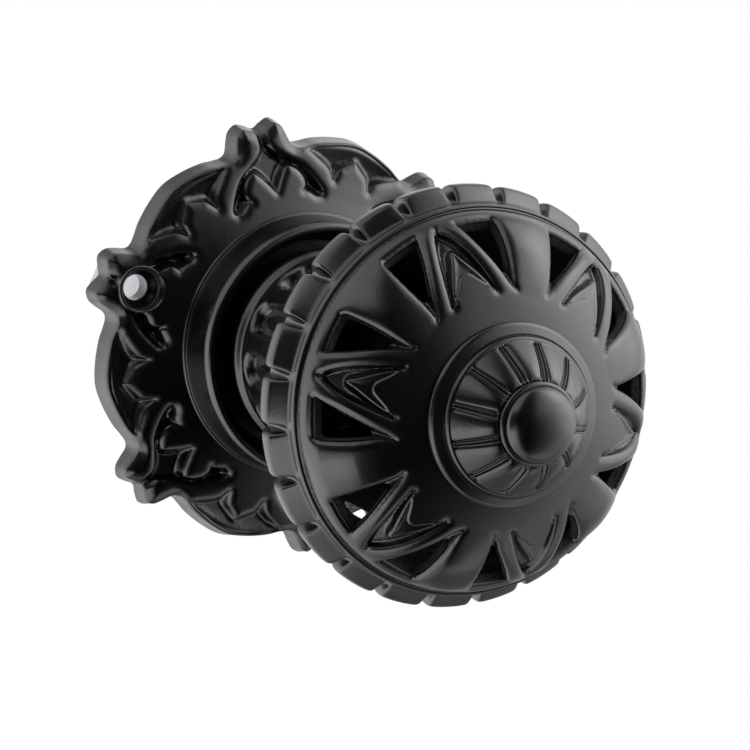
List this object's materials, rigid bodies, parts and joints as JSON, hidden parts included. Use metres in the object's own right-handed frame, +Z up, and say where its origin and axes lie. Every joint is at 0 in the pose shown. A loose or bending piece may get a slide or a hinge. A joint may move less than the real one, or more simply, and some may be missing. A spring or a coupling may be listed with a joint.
{
  "type": "door knob",
  "caption": "Ornamental cast door knob with a pierced dome and bell, notched crown ring and medallion, turning on a horned backplate rose with a square spindle.",
  "frame": {"origin": "centre of the rose's flat back, on the door face and on the knob's turning axis", "axes": "+Z up, -Y out of the door along the knob axis towards the person using it, +Y into the door, +X to the right seen from the front; the two fixing holes lie on the X axis"},
  "size_m": [0.0718, 0.1601, 0.0672],
  "materials": {
    "rose_black": "satin black powder coat over cast iron",
    "knob_black": "satin black powder coat over cast iron, rough uncoated look inside",
    "medallion_black": "satin black powder coat over cast iron",
    "bush_nylon": "moulded black nylon",
    "plain_steel": "turned steel, lightly oiled",
    "spring_steel": "phosphated black spring steel",
    "spindle_steel": "bright zinc-plated drawn bar"
  },
  "bodies": {
    "rose_body": {"rose": "rose_black", "rose_bush": "bush_nylon"},
    "knob_body": {"shank": "plain_steel", "back_washer": "plain_steel", "circlip": "spring_steel", "spindle": "spindle_steel", "grub_screw": "spring_steel", "knob_bell": "knob_black", "crown_ring": "knob_black", "knob_dome": "knob_black", "medallion": "medallion_black", "collar_washer": "medallion_black", "centre_bolt": "medallion_black", "lock_nut": "plain_steel"}
  },
  "joints": [
    {"name": "knob_turn", "type": "hinge", "parent": "rose_body", "child": "knob_body", "pos_m": [0, 0, 0], "axis": [0, -1, 0], "range_deg": [-60, 60]}
  ]
}
